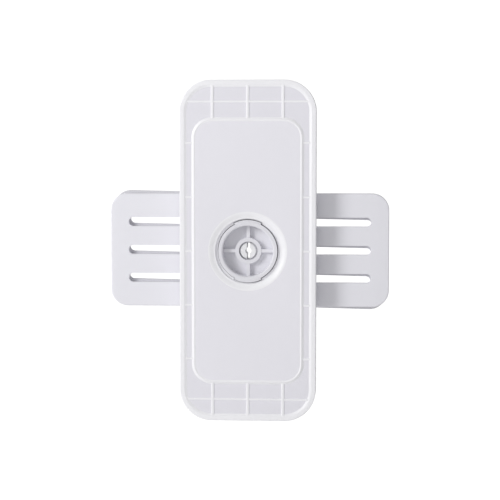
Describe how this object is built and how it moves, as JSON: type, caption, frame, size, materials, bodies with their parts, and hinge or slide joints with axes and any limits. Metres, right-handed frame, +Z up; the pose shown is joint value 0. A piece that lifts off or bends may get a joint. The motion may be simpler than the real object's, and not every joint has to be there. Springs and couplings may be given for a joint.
{
  "type": "stair gate latch mount",
  "caption": "Post-side mount for a stair gate: a long ribbed face plate that swivels on a spoked hub, on a slotted plate strapped to a banister post.",
  "frame": {"origin": "middle of the whole latch, on the swivel axis", "axes": "+Z up along the face plate, +Y along the swivel axis from the gate towards the post, +X to the right seen from the gate"},
  "size_m": [0.124, 0.0156, 0.15],
  "materials": {
    "pad": "soft white elastomer, matte, fine moulded grain",
    "plate_plastic": "white injection-moulded plastic, satin",
    "hub_plastic": "white injection-moulded plastic, semi-gloss",
    "pin_plastic": "white nylon, semi-gloss",
    "face_plastic": "white injection-moulded plastic, satin with a fine grain"
  },
  "bodies": {
    "post_bracket": {"grip_pad": "pad", "slotted_plate": "plate_plastic", "hub_cup": "hub_plastic", "snap_pin": "pin_plastic"},
    "face": {"face_plate": "face_plastic"}
  },
  "joints": [
    {"name": "swivel", "type": "hinge", "parent": "post_bracket", "child": "face", "pos_m": [0, 0, 0], "axis": [0, 1, 0], "continuous": true}
  ]
}
